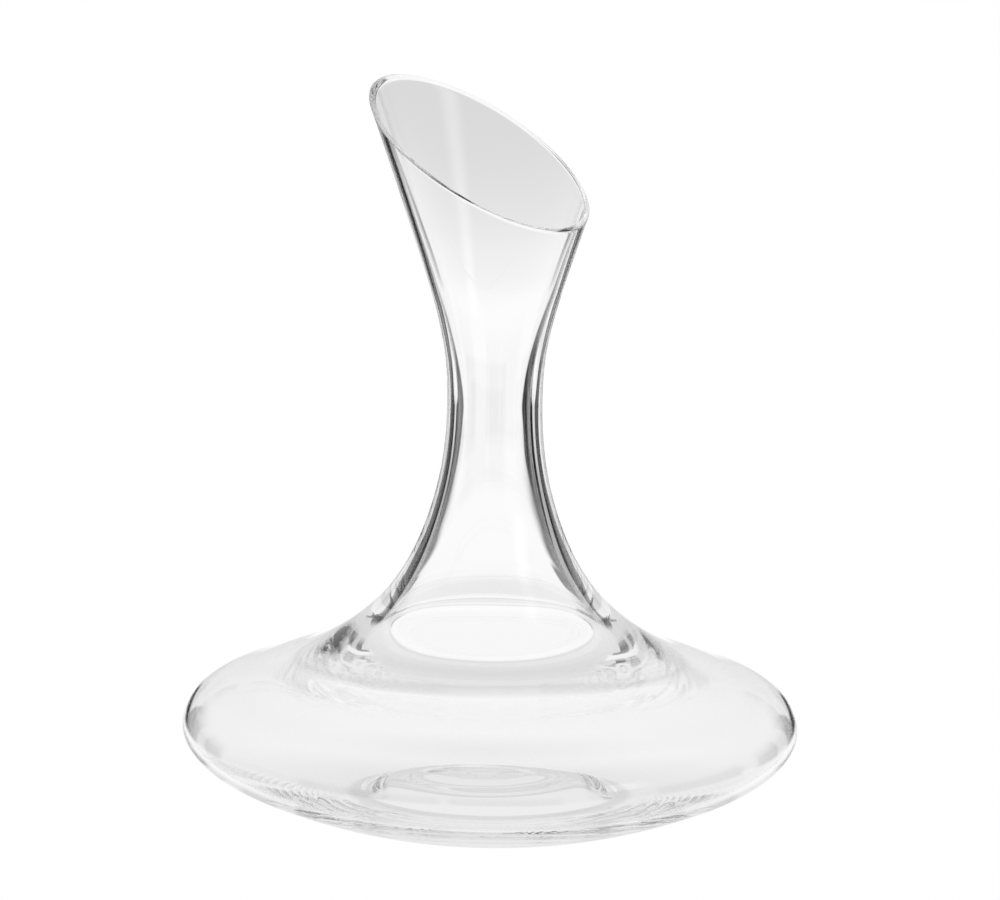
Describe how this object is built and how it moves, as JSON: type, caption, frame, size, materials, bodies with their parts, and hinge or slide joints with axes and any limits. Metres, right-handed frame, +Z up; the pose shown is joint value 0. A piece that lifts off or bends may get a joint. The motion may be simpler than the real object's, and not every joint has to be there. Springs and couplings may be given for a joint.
{
  "type": "wine decanter",
  "caption": "Clear blown-glass decanter with a wide low bowl, a pushed-up base, a slender neck and a flared mouth cut at a slant.",
  "frame": {"origin": "on the bowl's axis, at the surface that the foot ring stands on", "axes": "+Z up along the axis of bowl and neck; the lip's low side, over which it pours least, faces 41 degrees from +X towards -Y, and its high side the opposite way"},
  "size_m": [0.22, 0.22, 0.2596],
  "materials": {
    "glass": "clear, fire-polished, lip ground and polished"
  },
  "bodies": {
    "root": {"punt": "glass", "foot_ring": "glass", "bowl_lower": "glass", "bowl_upper": "glass", "shoulder": "glass", "neck": "glass", "mouth_flare": "glass", "lip": "glass"}
  },
  "joints": []
}
